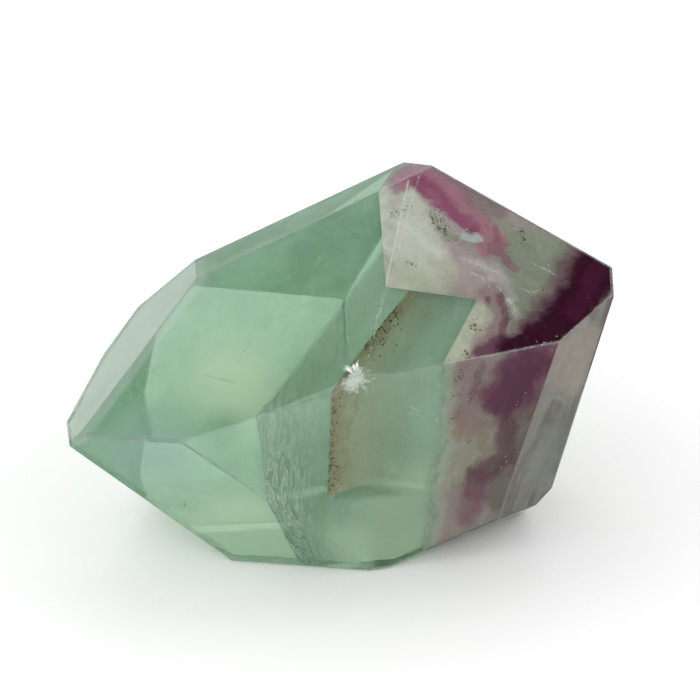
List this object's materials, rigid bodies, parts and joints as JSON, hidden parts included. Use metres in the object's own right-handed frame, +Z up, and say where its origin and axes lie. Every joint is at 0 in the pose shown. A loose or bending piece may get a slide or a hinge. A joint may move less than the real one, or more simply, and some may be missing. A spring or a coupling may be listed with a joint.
{
  "type": "fluorite octahedron",
  "caption": "Polished see-through fluorite crystal, a lopsided octahedron with broad flat facets, blunted corners and a flat base to stand on.",
  "frame": {"origin": "centre of the stone's footprint box, at table height", "axes": "+X along the length towards the blunt purple end, -Y the broad front face, +Z up"},
  "size_m": [0.0758, 0.0444, 0.0484],
  "materials": {
    "fluorite": "polished, clear green at the pointed end, milky with purple growth bands at the blunt end"
  },
  "bodies": {
    "root": {"fluorite_crystal": "fluorite"}
  },
  "joints": []
}
